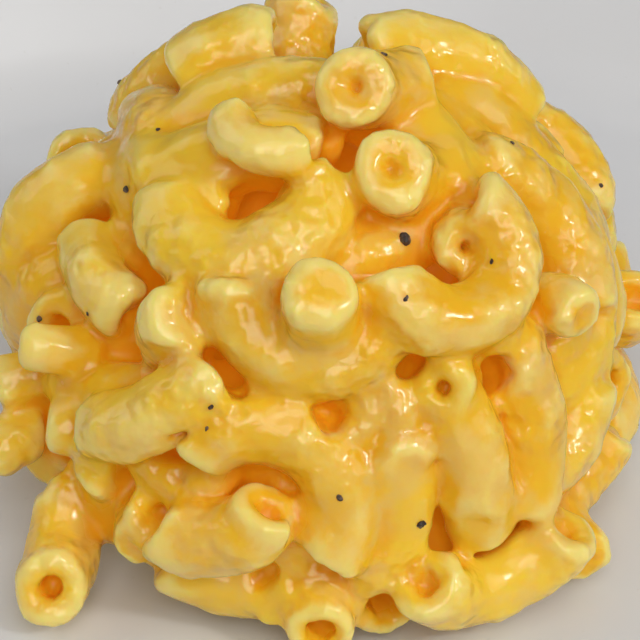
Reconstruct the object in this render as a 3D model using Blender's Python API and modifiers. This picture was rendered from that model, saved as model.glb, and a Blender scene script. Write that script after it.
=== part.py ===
"""Macaroni cheese: one heap of sauced elbow macaroni in a shallow round bowl.

Metres, +Z up. The origin is the middle of the bowl's foot, on the surface it stands on.
Heap sizes below are in millimetres and are scaled by MM when the meshes are made.
"""
import math
import random

import bmesh
import bpy
import numpy as np
from mathutils import Vector

MM = 0.001

# ---- the bowl, in millimetres
RIM_HEIGHT = 32.0
FLOOR_TOP = 6.5           # height of the inside floor
FLOOR_RADIUS = 84.0       # where the flat inside floor begins to turn up
CURVE = 14.0              # radius of the turn from the floor into the wall
WALL_SLOPE = 55.0         # of the flared wall, in degrees above level
WALL = 4.2                # wall thickness
FOOT_OUTER = 54.0
FOOT_INNER = 48.0
FOOT_HEIGHT = 2.2
LIP = WALL / 2            # radius of the round lip
TURN_STEPS = 64

# ---- the heap's outer envelope: a scoop's dome, widest a little above its base
WIDEST = 38.5
BELLY = 14.0              # height of the widest place above the bowl's floor
CROWN_RISE = 40.0         # from the belly to the crown
FOOT_DROP = 36.0          # how slowly it tucks in below the belly
CROWN_POWER = 1.85
CORE_DEPTH = 6.0          # the sauce-bound core lies this far inside the envelope
REST_GAP = 0.3            # between the heap and the bowl's floor

# ---- one elbow
TUBE = 4.0                # outside radius of a cooked, coated tube
POINTS = 12               # along each centreline

# ---- the heap's solid
VOXEL = 1.0
SMOOTHING = 3
HEAP_TRIANGLES = 6400
SEED = 7
FILL_SPOTS = 420
FILL_TRIES = 9
FILL_LEVELS = ((0.0, 6.5), (-2.4, 5.6), (-4.8, 4.0))    # how proud, and how far apart their centrelines are
SETTLE_APART = 6.6        # centrelines closer than this make the lower elbow sink
SETTLE_ROUNDS = 60
SETTLE_STEP = 0.3
SETTLE_DEEPEST = 2.6
GOLDEN_ANGLE = 137.508

# Elbows lying in the surface, by the middle of their bend: degrees around from the front,
# height, heading in the surface (0 level to the right, 90 uphill), roll of the bend
# (0 bends in the surface, 90 dives at both ends), bend radius, sweep, how proud it lies, and
# the tube's thickness where it isn't 1.
LYING = (
    (-1.5, 33.6, 0, 0, 7.6, 185, 2.4, 1.04),
    (-20, 41.7, 14, 15, 7.8, 185, 2.0, 1.04),
    (15, 43, 15, 30, 12, 60, -1.4),
    (33, 35.8, 20, 8, 6.8, 225, 3.2, 0.95),
    (-80, 43, 15, 90, 12, 90, -0.5),
    (-92, 46.5, 20, 80, 9, 80, 0.4),
    (-97, 31, 90, 90, 12, 90, 0.8),
    (-57, 46.3, 10, 70, 12, 70, 0.4),
    (-57, 35.3, -16, 75, 10, 70, 1.4, 0.9),
    (-84, 33.5, 90, 90, 12, 90, 1.0),
    (-78, 26, 60, 80, 10, 80, 0.4),
    (-23, 48.6, -15, 25, 4.4, 190, 3.0, 0.68),
    (93, 46.9, -91, 90, 12, 70, 0.6, 0.9),
    (92, 43, 90, 60, 10, 90, 0.2),
    (71, 38.5, 90, 25, 14, 85, 1.8, 1.08),
    (88, 36.5, 90, 90, 12, 90, 0.3),
    (80, 31, 90, 90, 12, 90, 0),
    (59, 30, 45, 90, 7.5, 100, -0.2),
    (40.5, 25.5, 92, 10, 18, 80, 1.9),
    (26.5, 20.4, 97, 90, 20, 47, 2.8, 0.84),
    (13.5, 15.5, 80, 10, 13, 75, 1.2, 0.95),
    (29, 5.6, 3, 0, 10, 120, 3.0, 0.95),
    (-29, 26.2, 36, 60, 12, 76, 2.4),
    (-45, 23.6, 12, 70, 11, 75, 0.2),
    (-1.5, 25.2, 142, 0, 8.5, 180, 1.9),
    (-15, 14.6, 20, 0, 8, 105, 2.5, 0.9),
    (-25, 18.2, 5, 20, 4.5, 160, 0.6, 0.7),
    (-15, 4.6, 0, 0, 14, 65, 1.6),
    (-6, 9, 45, 60, 9, 90, 0),
    (-42, 15, 100, 60, 12, 80, -0.3),
    (52, 48.6, -101, 90, 16, 75, 0.8, 1.08),
    (75, 51, -85, 90, 14, 90, -0.6),
    (-110, 51.6, 110, 90, 12, 50, 1.5),
    (-65, 52.5, 65, 90, 14, 90, 0.8),
    (-50, 51, 45, 90, 14, 80, -0.6),
    (-42, 49.3, 38, 90, 12, 80, 0.9),
    (108, 49.4, -100, 90, 16, 70, 1.5),
    (46.5, 14.5, 10, 10, 8.5, 130, 0.3),
    (56, 6, 10, 0, 14, 70, 0),
    (8, 28, 90, 90, 8, 80, -1.5),
    (14, 26.5, 95, 80, 10, 55, 1.0, 0.5),
    (8, 27.5, 80, 80, 8, 50, 0.0, 0.5),
    (-68, 14, 90, 90, 11, 80, 0.5),
    (62, 25, 20, 60, 9, 80, 0.4),
    (-40, 7.5, -30, 60, 10, 80, -0.5),
)

# Elbows with an open end on view, by that end: degrees around, height, the way the tube
# leans inside the heap (heading, then degrees from straight in), turn of the bend about
# the tube, bend radius, sweep, how proud the end stands, thickness, and radius of the hole.
STANDING = (
    (0, 39.0, 270, 12, 0, 30, 20, 5.0, 0.92, 0.0),
    (33.8, 41, 50, 22, 0, 8, 90, 1.4, 0.8, 1.0),
    (20.6, 47.0, 60, 10, 60, 8, 100, 1.9, 0.97, 1.1),
    (15.6, 51.5, 64, 32, 64, 10, 78, 1.9, 1.0, 0.9),
    (20.8, 30, 10, 40, 180, 9, 80, 2.0, 0.8, 1.1),
    (11, 5.4, 270, 12, 180, 9, 90, 1.5, 0.95, 2.4),
    (0, 5.3, 270, 12, 180, 9, 90, 2, 0.95, 1.7),
    (-26, 36.5, 215, 55, 180, 12, 75, 1.5, 1.0, 0.7),
    (-51, 19.8, 0, 40, 180, 8, 60, 1.0, 0.8, 0.0),
    (-40.5, 18, 90, 35, 180, 7, 60, 1.0, 0.7, 0.0),
    (-42, 14.5, 60, 35, 180, 7, 60, 0.6, 0.65, 0.6),
    (-57, 27, 20, 50, 180, 7, 60, 0.8, 0.65, 0.0),
    (-66, 19, 60, 40, 180, 7, 60, 1.8, 0.7, 0.0),
    (-61, 12, 100, 45, 180, 7, 60, 2.2, 0.75, 0.6),
    (-50, 10, 20, 35, 180, 7, 60, 0.8, 0.6, 0.0),
    (-29, 11, 180, 40, 180, 8, 70, 1.0, 0.8, 1.8),
    (-26, 14.6, 240, 40, 180, 12, 70, 0.5),
    (49, 32, 60, 40, 180, 8, 60, 1.8, 0.75, 0.5),
    (14.5, 23.4, 90, 25, 0, 9, 60, 1.4, 0.6, 0.0),
    (-8, 6.5, 300, 35, 180, 7, 60, 1.6, 0.7, 0.0),
    (47, 5, 330, 30, 180, 7, 60, 1.5, 0.8, 0.7),
    (-39.6, 7.4, 227, 50, 137, 9, 85, 6, 1.0, 1.5),
)

# Gaps left open between elbows: degrees around, height, heading, then length, width and depth.
GAPS = (
    (-28, 46.9, 20, 6, 4, 7),
    (-67, 34.1, 95, 8, 2.4, 5),
    (-41, 31.2, 15, 10, 3.6, 8),
    (-21.5, 26.5, 43, 8, 1.8, 5),
    (-14, 30.5, 10, 4, 2.2, 6),
    (2, 28.5, -10, 8, 3.4, 8),
    (-4, 17.2, 70, 5, 3.0, 6),
    (-9, 9.0, 50, 7, 2.6, 6),
    (166, 52, 90, 8, 4.5, 7),
    (125, 53.6, 0, 5, 4.5, 4),
    (8, 14.5, 85, 5, 1.5, 4),
    (21, 10.5, 20, 4, 1.8, 4),
    (33, 29.7, 80, 7, 3.6, 9),
    (14, 50.5, 25, 5.5, 1.2, 3.5),
    (32, 45.7, 40, 2, 2, 3.5),
    (9, 45.3, 0, 2, 2, 3.5),
    (-24, 20.1, 60, 3.5, 2.5, 5),
    (54, 25.3, 85, 9, 1.8, 5),
    (29, 39.3, -15, 3.5, 1.2, 2.5),
    (9, 20.9, 0, 1.8, 1.5, 3),
    (19.5, 24.5, 80, 8, 1.8, 5),
    (-46, 30.2, 20, 5, 2.5, 6),
    (22, 34.5, 60, 4, 1.6, 5),
    (9, 31, -15, 3, 2, 4),
)


def clear_scene():
    for item in list(bpy.data.objects):
        bpy.data.objects.remove(item, do_unlink=True)


def make_collection(name):
    collection = bpy.data.collections.new(name)
    bpy.context.scene.collection.children.link(collection)
    return collection


def make_material(name, colour, roughness):
    material = bpy.data.materials.new(name)
    material.use_nodes = True
    shader = material.node_tree.nodes["Principled BSDF"]
    shader.inputs["Base Color"].default_value = (*colour, 1)
    shader.inputs["Roughness"].default_value = roughness
    shader.inputs["Metallic"].default_value = 0
    return material


# ---- the bowl


def arc_points(centre, radius, first, last, steps):
    """Points on an arc in the (radius, height) plane, angles in degrees."""
    points = []
    for step in range(steps + 1):
        angle = math.radians(first + (last - first) * step / steps)
        points.append((centre[0] + radius * math.cos(angle), centre[1] + radius * math.sin(angle)))
    return points


def side_line(offset):
    """The floor's turn and the straight flared wall, moved out by an offset."""
    turn_centre = (FLOOR_RADIUS, FLOOR_TOP + CURVE)
    turn = arc_points(turn_centre, CURVE + offset, -90, WALL_SLOPE - 90, 5)
    slope = math.radians(WALL_SLOPE)
    rise = RIM_HEIGHT - LIP - FLOOR_TOP - CURVE * (1 - math.cos(slope))
    foot = turn[-1]
    return turn + [(foot[0] + rise * share / math.tan(slope), foot[1] + rise * share)
                   for share in (0.5, 0.97)]


def bowl_profile():
    """The turned outline from the inside floor's middle, over the lip, to the foot's middle."""
    inside = [(0, FLOOR_TOP), (FLOOR_RADIUS / 2, FLOOR_TOP)] + side_line(0)
    outside = side_line(WALL)
    lip_centre = ((inside[-1][0] + outside[-1][0]) / 2, (inside[-1][1] + outside[-1][1]) / 2)
    lip = arc_points(lip_centre, LIP, WALL_SLOPE + 90, WALL_SLOPE - 90, 6)[1:-1]
    foot = [(FOOT_OUTER + FOOT_HEIGHT, FLOOR_TOP - WALL), (FOOT_OUTER, 0.4), (FOOT_OUTER - 0.6, 0),
            (FOOT_INNER + 0.6, 0), (FOOT_INNER, 0.4), (FOOT_INNER - 0.6, FLOOR_TOP - WALL - 0.3),
            (0, FLOOR_TOP - WALL - 0.3)]
    return inside + lip + outside[::-1] + foot


def make_bowl(collection):
    outline = bmesh.new()
    last = None
    for radius, height in bowl_profile():
        vert = outline.verts.new((radius * MM, 0, height * MM))
        if last:
            outline.edges.new((last, vert))
        last = vert
    mesh = bpy.data.meshes.new("bowl")
    outline.to_mesh(mesh)
    outline.free()
    bowl = bpy.data.objects.new("bowl", mesh)
    collection.objects.link(bowl)
    screw = bowl.modifiers.new("turned", "SCREW")
    screw.axis = "Z"
    screw.steps = screw.render_steps = TURN_STEPS
    screw.use_merge_vertices = True
    screw.merge_threshold = 0.00005
    screw.use_smooth_shade = True
    mesh.materials.append(make_material("white_glaze", (0.8, 0.8, 0.79), 0.15))
    return bowl


# ---- the elbows' places


def envelope(height):
    """The heap's radius at a height above the bowl's floor."""
    if height >= BELLY:
        rise = min((height - BELLY) / CROWN_RISE, 1)
        return WIDEST * (1 - rise ** CROWN_POWER) ** (1 / CROWN_POWER)
    return WIDEST * math.sqrt(1 - ((BELLY - height) / FOOT_DROP) ** 2)


def surface_frame(around, height):
    """A place on the envelope, with its directions to the right, uphill and out."""
    angle = math.radians(around)
    low = max(height - 0.2, 0)
    high = min(height + 0.2, BELLY + CROWN_RISE - 0.02)
    slope = (envelope(high) - envelope(low)) / (high - low)
    right = Vector((math.cos(angle), math.sin(angle), 0))
    level_out = Vector((math.sin(angle), -math.cos(angle), 0))
    out = (level_out - Vector((0, 0, slope))).normalized()
    place = level_out * envelope(height) + Vector((0, 0, height))
    return place, right, out.cross(right), out


def make_elbow(start, along, inward, bend, sweep, proud, out, thick):
    """An elbow that leaves start along one way and bends towards another."""
    centre = start + inward * bend
    line = []
    for step in range(POINTS + 1):
        angle = math.radians(sweep) * step / POINTS
        line.append(centre - inward * (bend * math.cos(angle)) + along * (bend * math.sin(angle)))
    return {"line": line, "proud": proud, "out": out, "thick": thick}


def lying_elbow(around, height, heading, roll, bend, sweep, proud, thick=1.0):
    place, right, uphill, out = surface_frame(around, height)
    turn = math.radians(heading)
    middle_way = right * math.cos(turn) + uphill * math.sin(turn)
    tilt = math.radians(roll)
    inward = out.cross(middle_way) * math.cos(tilt) - out * math.sin(tilt)
    half = math.radians(sweep) / 2
    middle = place + out * (proud - TUBE * thick)
    start = middle + inward * (bend - bend * math.cos(half)) - middle_way * (bend * math.sin(half))
    along = middle_way * math.cos(half) - inward * math.sin(half)
    across = inward * math.cos(half) + middle_way * math.sin(half)
    return make_elbow(start, along, across, bend, sweep, proud, out, thick)


def standing_elbow(around, height, heading, lean, turn, bend, sweep, proud, thick=1.0, hole=None):
    place, right, uphill, out = surface_frame(around, height)
    side = math.radians(heading)
    leaning = right * math.cos(side) + uphill * math.sin(side)
    tilt = math.radians(lean)
    along = leaning * math.sin(tilt) - out * math.cos(tilt)
    towards = leaning * math.cos(tilt) + out * math.sin(tilt)
    twist = math.radians(turn)
    inward = towards * math.cos(twist) + along.cross(towards) * math.sin(twist)
    return make_elbow(place + out * proud, along, inward, bend, sweep, proud, out, thick)


def settle(elbows):
    """Where two elbows overlap too far, the one that lies lower sinks into the heap."""
    lines = np.array([[tuple(point) for point in elbow["line"]] for elbow in elbows])
    outs = np.array([tuple(elbow["out"]) for elbow in elbows])
    proud = np.array([elbow["proud"] for elbow in elbows])
    above = proud[None, :] > proud[:, None]
    sunk = np.zeros(len(elbows))
    count, steps = lines.shape[:2]
    for turn in range(SETTLE_ROUNDS):
        points = (lines - outs[:, None] * sunk[:, None, None]).reshape(-1, 3)
        square = (points ** 2).sum(1)
        apart = square[:, None] + square[None, :] - 2 * points @ points.T
        nearest = apart.reshape(count, steps, count, steps).min(axis=(1, 3))
        overlap = np.clip(SETTLE_APART - np.sqrt(np.maximum(nearest, 0)), 0, None)
        push = np.where(above, overlap, 0).max(axis=1) * SETTLE_STEP
        low = points.reshape(count, steps, 3)[:, :, 2].min(axis=1)
        push = np.where(low > TUBE - 0.4, push, 0)
        sunk = np.minimum(sunk + push, SETTLE_DEEPEST)
    for elbow, depth in zip(elbows, sunk):
        elbow["line"] = [point - elbow["out"] * float(depth) for point in elbow["line"]]
    return elbows


def stands_out(line):
    """How far a centreline comes nearer the envelope than a tube's radius."""
    most = -TUBE
    for point in line:
        height = min(max(point.z, 0), BELLY + CROWN_RISE - 0.05)
        radial = math.hypot(point.x, point.y) - envelope(height) + TUBE
        overhead = point.z - BELLY - CROWN_RISE + TUBE
        most = max(most, radial if height < 44 else overhead)
    return most


def random_elbow(rng, around, height, level):
    heading = rng.uniform(0, 360)
    bend = rng.uniform(8, 13)
    sweep = rng.uniform(75, 150)
    proud = level + rng.uniform(-1.2, 0.5)
    kind = rng.random()
    if kind < 0.45:
        return lying_elbow(around, height, heading, rng.uniform(-15, 35), bend, sweep, proud)
    if kind < 0.85:
        return lying_elbow(around, height, heading, rng.uniform(55, 100), bend, min(sweep, 100), proud)
    return standing_elbow(around, height, heading, rng.uniform(0, 40), 180, bend, 80, proud + 0.8)


def fill_heap(elbows):
    """Add elbows round the sides, back and top wherever the placed ones leave room."""
    rng = random.Random(SEED)
    taken = [point for elbow in elbows for point in elbow["line"]]
    for around, height, heading, length, width, depth in GAPS:
        place, right, uphill, out = surface_frame(around, height)
        taken += [place - out * (share * depth) for share in (0.3, 0.8)]
    taken = np.array(taken)
    for level, clearance in FILL_LEVELS:
        for spot in range(FILL_SPOTS):
            height = 2.5 + (spot + 0.5) / FILL_SPOTS * (BELLY + CROWN_RISE - 2.9)
            around = spot * GOLDEN_ANGLE
            for attempt in range(FILL_TRIES):
                elbow = random_elbow(rng, around, height, level)
                line = elbow["line"]
                if min(point.z for point in line) < TUBE - 0.6 or stands_out(line) > 1.2:
                    continue
                new = np.array(line)
                nearest = np.linalg.norm(taken[None] - new[:, None], axis=2).min()
                if nearest >= clearance:
                    elbows.append(elbow)
                    taken = np.concatenate([taken, new])
                    break
    return elbows


def place_elbows():
    elbows = [lying_elbow(*row) for row in LYING]
    elbows += [standing_elbow(*row) for row in STANDING]
    return fill_heap(settle(elbows))


# ---- the heap's solid


def tubes_mesh(elbows):
    """All the elbows as capped tubes in one mesh."""
    curve = bpy.data.curves.new("elbows", "CURVE")
    curve.dimensions = "3D"
    curve.bevel_depth = TUBE * MM
    curve.bevel_resolution = 3
    curve.use_fill_caps = True
    for elbow in elbows:
        spline = curve.splines.new("POLY")
        spline.points.add(len(elbow["line"]) - 1)
        for point, place in zip(spline.points, elbow["line"]):
            point.co = (*(place * MM), 1)
            point.radius = elbow["thick"]
    holder = bpy.data.objects.new("elbows", curve)
    bpy.context.scene.collection.objects.link(holder)
    evaluated = holder.evaluated_get(bpy.context.evaluated_depsgraph_get())
    mesh = bpy.data.meshes.new_from_object(evaluated)
    bpy.data.objects.remove(holder, do_unlink=True)
    return mesh


def add_core(body):
    """The sauce-bound middle: a ball pulled onto the envelope, less its depth."""
    made = bmesh.ops.create_uvsphere(body, u_segments=48, v_segments=32, radius=1)
    top = BELLY + CROWN_RISE - CORE_DEPTH
    for vert in made["verts"]:
        height = (vert.co.z + 1) / 2 * top
        level = math.hypot(vert.co.x, vert.co.y)
        reach = max(envelope(height + CORE_DEPTH * height / top) - CORE_DEPTH, 0)
        scale = reach / level if level > 1e-6 else 0
        vert.co = Vector((vert.co.x * scale, vert.co.y * scale, height)) * MM


def keep_largest_shell(body):
    """Drop the shut-in bubbles between elbows, which are shells of their own."""
    unseen = set(body.verts)
    shells = []
    while unseen:
        shell = {unseen.pop()}
        border = list(shell)
        while border:
            for edge in border.pop().link_edges:
                for vert in edge.verts:
                    if vert in unseen:
                        unseen.remove(vert)
                        shell.add(vert)
                        border.append(vert)
        shells.append(shell)
    largest = max(shells, key=len)
    spare = [vert for vert in body.verts if vert not in largest]
    bmesh.ops.delete(body, geom=spare, context="VERTS")


def remeshed(mesh):
    """The overlapping tubes and core as one skin."""
    holder = bpy.data.objects.new("rough_heap", mesh)
    bpy.context.scene.collection.objects.link(holder)
    remesh = holder.modifiers.new("one_skin", "REMESH")
    remesh.mode = "VOXEL"
    remesh.voxel_size = VOXEL * MM
    smooth = holder.modifiers.new("sauce", "SMOOTH")
    smooth.factor = 0.5
    smooth.iterations = SMOOTHING
    evaluated = holder.evaluated_get(bpy.context.evaluated_depsgraph_get())
    skin = bpy.data.meshes.new_from_object(evaluated)
    bpy.data.objects.remove(holder, do_unlink=True)
    return skin


def make_floor_cutter(collection):
    """A slab whose top is the plane that the heap's flat underside lies in."""
    body = bmesh.new()
    bmesh.ops.create_cube(body, size=1)
    depth = 30
    for vert in body.verts:
        vert.co.x *= 200 * MM
        vert.co.y *= 200 * MM
        vert.co.z = (vert.co.z - 0.5) * depth * MM
    mesh = bpy.data.meshes.new("floor_cutter")
    body.to_mesh(mesh)
    body.free()
    cutter = bpy.data.objects.new("floor_cutter", mesh)
    collection.objects.link(cutter)
    cutter.location = (0, 0, (FLOOR_TOP + REST_GAP) * MM)
    cutter.hide_render = True
    cutter.display_type = "WIRE"
    return cutter


def make_heap(collection, cutters):
    body = bmesh.new()
    body.from_mesh(tubes_mesh(place_elbows()))
    bmesh.ops.remove_doubles(body, verts=body.verts, dist=0.00001)
    add_core(body)
    rough = bpy.data.meshes.new("rough_heap")
    body.to_mesh(rough)
    body.free()

    body = bmesh.new()
    body.from_mesh(remeshed(rough))
    keep_largest_shell(body)
    mesh = bpy.data.meshes.new("macaroni_heap")
    body.to_mesh(mesh)
    skin_triangles = sum(len(face.verts) - 2 for face in body.faces)
    body.free()

    heap = bpy.data.objects.new("macaroni_heap", mesh)
    collection.objects.link(heap)
    heap.location = (0, 0, FLOOR_TOP * MM)
    decimate = heap.modifiers.new("fewer_faces", "DECIMATE")
    decimate.ratio = HEAP_TRIANGLES / skin_triangles
    cut = heap.modifiers.new("flat_underside", "BOOLEAN")
    cut.operation = "DIFFERENCE"
    cut.object = make_floor_cutter(cutters)
    mesh.shade_smooth()
    mesh.materials.append(make_material("cheese_sauce", (0.78, 0.5, 0.09), 0.35))
    return heap


def main():
    clear_scene()
    dish = make_collection("macaroni_cheese")
    cutters = make_collection("cutters")
    make_bowl(dish)
    make_heap(dish, cutters)


main()
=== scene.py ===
import math
import random
import time

import bmesh
import bpy
import numpy as np
from mathutils import Matrix, Vector, noise
from mathutils.bvhtree import BVHTree


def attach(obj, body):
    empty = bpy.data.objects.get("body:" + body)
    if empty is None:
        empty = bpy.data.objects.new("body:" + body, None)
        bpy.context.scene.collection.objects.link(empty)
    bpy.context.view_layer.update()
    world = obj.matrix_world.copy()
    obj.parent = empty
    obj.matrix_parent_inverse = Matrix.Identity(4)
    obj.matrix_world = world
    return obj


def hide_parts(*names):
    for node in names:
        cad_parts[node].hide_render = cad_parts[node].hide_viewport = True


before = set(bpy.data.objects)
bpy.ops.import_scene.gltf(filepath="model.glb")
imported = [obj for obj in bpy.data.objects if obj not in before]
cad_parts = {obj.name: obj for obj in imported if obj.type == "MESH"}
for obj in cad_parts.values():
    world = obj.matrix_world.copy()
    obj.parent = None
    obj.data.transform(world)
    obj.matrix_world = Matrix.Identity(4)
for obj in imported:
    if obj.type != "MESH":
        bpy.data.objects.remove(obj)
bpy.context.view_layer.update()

millimetre = 0.001
started = time.time()


def report(stage):
    print(f"{stage}: {time.time() - started:.1f} s")


# A wrapper for node sockets, so that node maths can be written as expressions.

class Wire:
    def __init__(self, build, socket):
        self.build = build
        self.socket = socket

    def isVector(self):
        return self.socket.type in ("VECTOR", "RGBA")

    def maths(self, operation, *others):
        values = (self, *others)
        if any(isinstance(v, Wire) and v.isVector() for v in values):
            if operation == "MULTIPLY" and not (isinstance(others[0], Wire) and others[0].isVector()):
                scaled = {0: self, 3: others[0]}
                return self.build.node("ShaderNodeVectorMath", {"operation": "SCALE"}, scaled)
            return self.build.node("ShaderNodeVectorMath", {"operation": operation}, dict(enumerate(values)))
        return self.build.node("ShaderNodeMath", {"operation": operation}, dict(enumerate(values)))

    def __add__(self, other):
        return self.maths("ADD", other)

    def __radd__(self, other):
        return self.maths("ADD", other)

    def __mul__(self, other):
        if isinstance(other, Wire) and other.isVector() and not self.isVector():
            return other.maths("MULTIPLY", self)
        return self.maths("MULTIPLY", other)

    def __rmul__(self, other):
        return self.maths("MULTIPLY", other)

    def __sub__(self, other):
        return self.maths("SUBTRACT", other)

    def __rsub__(self, other):
        return self.build.node("ShaderNodeMath", {"operation": "SUBTRACT"}, {0: other, 1: self})

    def __truediv__(self, other):
        return self.maths("DIVIDE", other)

    def __pow__(self, other):
        return self.maths("POWER", other)

    def ramp(self, low, high):
        return self.build.node("ShaderNodeMapRange", {"interpolation_type": "SMOOTHSTEP"},
                               {"Value": self, "From Min": low, "From Max": high})

    def cos(self):
        return self.maths("COSINE")

    def sin(self):
        return self.maths("SINE")


class NodeBuild:
    def __init__(self, tree):
        self.tree = tree

    def node(self, kind, settings=None, inputs=None, output=0):
        made = self.tree.nodes.new(kind)
        for name, value in (settings or {}).items():
            if name == "stops":
                self.setStops(made.color_ramp, value)
            else:
                setattr(made, name, value)
        for name, value in (inputs or {}).items():
            for part in value if isinstance(value, list) else [value]:
                if isinstance(part, Wire):
                    self.tree.links.new(part.socket, made.inputs[name])
                else:
                    made.inputs[name].default_value = part
        if isinstance(output, tuple):
            return [Wire(self, made.outputs[name]) for name in output]
        return Wire(self, made.outputs[output]) if len(made.outputs) else None

    def setStops(self, ramp, stops):
        while len(ramp.elements) > 1:
            ramp.elements.remove(ramp.elements[0])
        ramp.elements[0].position, ramp.elements[0].color = stops[0]
        for place, colour in stops[1:]:
            ramp.elements.new(place).color = colour

    def mixColour(self, factor, first, second, blend="MIX"):
        made = self.tree.nodes.new("ShaderNodeMix")
        made.data_type = "RGBA"
        made.blend_type = blend
        for socket, value in ((made.inputs[0], factor), (made.inputs[6], first), (made.inputs[7], second)):
            if isinstance(value, Wire):
                self.tree.links.new(value.socket, socket)
            else:
                socket.default_value = value
        return Wire(self, made.outputs[2])

    def named(self, name, kind="FLOAT"):
        return self.node("GeometryNodeInputNamedAttribute", {"data_type": kind}, {"Name": name})


def startTree(name, sizes=(), objects=()):
    tree = bpy.data.node_groups.new(name, "GeometryNodeTree")
    tree.interface.new_socket("Geometry", in_out="INPUT", socket_type="NodeSocketGeometry")
    for title, value in sizes:
        kind = "NodeSocketInt" if isinstance(value, int) else "NodeSocketFloat"
        tree.interface.new_socket(title, in_out="INPUT", socket_type=kind).default_value = value
    for title in objects:
        tree.interface.new_socket(title, in_out="INPUT", socket_type="NodeSocketObject")
    tree.interface.new_socket("Geometry", in_out="OUTPUT", socket_type="NodeSocketGeometry")
    build = NodeBuild(tree)
    inlet = tree.nodes.new("NodeGroupInput")
    given = {socket.name: Wire(build, socket) for socket in inlet.outputs if socket.name}
    return build, given


def endTree(build, geometry, material=None):
    real = build.node("GeometryNodeRealizeInstances", {}, {"Geometry": geometry})
    finish = {"Geometry": real, "Material": material} if material else {"Geometry": real}
    build.node("NodeGroupOutput", {}, {"Geometry": build.node("GeometryNodeSetMaterial", {}, finish)})


def setInputs(modifier, values):
    for item in modifier.node_group.interface.items_tree:
        if item.in_out == "INPUT" and item.name in values:
            modifier[item.identifier] = values[item.name]


def grown(source, build, values, name):
    modifier = source.modifiers.new(build.tree.name, "NODES")
    modifier.node_group = build.tree
    setInputs(modifier, values)
    mesh = bpy.data.meshes.new_from_object(source.evaluated_get(bpy.context.evaluated_depsgraph_get()))
    mesh.name = name
    source.modifiers.remove(modifier)
    return addObject(name, mesh)


def meshFrom(body, name):
    mesh = bpy.data.meshes.new(name)
    body.to_mesh(mesh)
    body.free()
    return mesh


def addObject(name, mesh):
    made = bpy.data.objects.new(name, mesh)
    bpy.context.scene.collection.objects.link(made)
    return made


def discard(*objects):
    for item in objects:
        bpy.data.objects.remove(item, do_unlink=True)


# The heap. Its sizes are in millimetres, from the middle of the bowl's floor.

heap = {
    "widest": 38.5,
    "belly": 14.0,          # height of the widest place
    "crownRise": 40.0,
    "footDrop": 36.0,
    "crownPower": 1.85,
    "coreDepth": 9.5,
    "floorHeight": 6.5,     # of the bowl's floor above the table
    "tube": 4.0,            # outside radius of an elbow
    "coreSwell": ((0.17, 2.2), (0.4, 0.8)),     # lumps of the core: how many to a millimetre, how high
    "coreCalm": 6.0,        # below this height the core's lumps fade out
}


def envelope(height):
    if height >= heap["belly"]:
        rise = min((height - heap["belly"]) / heap["crownRise"], 1)
        return heap["widest"] * (1 - rise ** heap["crownPower"]) ** (1 / heap["crownPower"])
    return heap["widest"] * math.sqrt(1 - ((heap["belly"] - height) / heap["footDrop"]) ** 2)


def surfaceFrame(around, height):
    angle = math.radians(around)
    low = max(height - 0.2, 0)
    high = min(height + 0.2, heap["belly"] + heap["crownRise"] - 0.02)
    slope = (envelope(high) - envelope(low)) / (high - low)
    right = Vector((math.cos(angle), math.sin(angle), 0))
    levelOut = Vector((math.sin(angle), -math.cos(angle), 0))
    out = (levelOut - Vector((0, 0, slope))).normalized()
    return levelOut * envelope(height) + Vector((0, 0, height)), right, out.cross(right), out


def lyingElbow(around, height, heading, roll, bend, sweep, proud, thick=1.0):
    place, right, uphill, out = surfaceFrame(around, height)
    turn, tilt, half = math.radians(heading), math.radians(roll), math.radians(sweep) / 2
    middleWay = right * math.cos(turn) + uphill * math.sin(turn)
    inward = out.cross(middleWay) * math.cos(tilt) - out * math.sin(tilt)
    middle = place + out * (proud - heap["tube"] * thick)
    start = middle + inward * (bend - bend * math.cos(half)) - middleWay * (bend * math.sin(half))
    along = middleWay * math.cos(half) - inward * math.sin(half)
    across = inward * math.cos(half) + middleWay * math.sin(half)
    return {"start": start, "along": along, "inward": across, "bend": bend, "sweep": sweep,
            "thick": thick, "out": out, "proud": proud}


def standingElbow(around, height, heading, lean, turn, bend, sweep, proud, thick=1.0, bore=None):
    place, right, uphill, out = surfaceFrame(around, height)
    side, tilt, twist = math.radians(heading), math.radians(lean), math.radians(turn)
    leaning = right * math.cos(side) + uphill * math.sin(side)
    along = leaning * math.sin(tilt) - out * math.cos(tilt)
    towards = leaning * math.cos(tilt) + out * math.sin(tilt)
    inward = towards * math.cos(twist) + along.cross(towards) * math.sin(twist)
    elbow = {"start": place + out * proud, "along": along, "inward": inward, "bend": bend, "sweep": sweep,
             "thick": thick, "out": out, "proud": proud, "onTop": True}
    if bore is not None:
        elbow["bore"] = bore
    return elbow


def centreline(elbow, steps=12):
    line = []
    centre = elbow["start"] + elbow["inward"] * elbow["bend"]
    for step in range(steps + 1):
        angle = math.radians(elbow["sweep"]) * step / steps
        line.append(centre - elbow["inward"] * (elbow["bend"] * math.cos(angle))
                    + elbow["along"] * (elbow["bend"] * math.sin(angle)))
    return line


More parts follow.
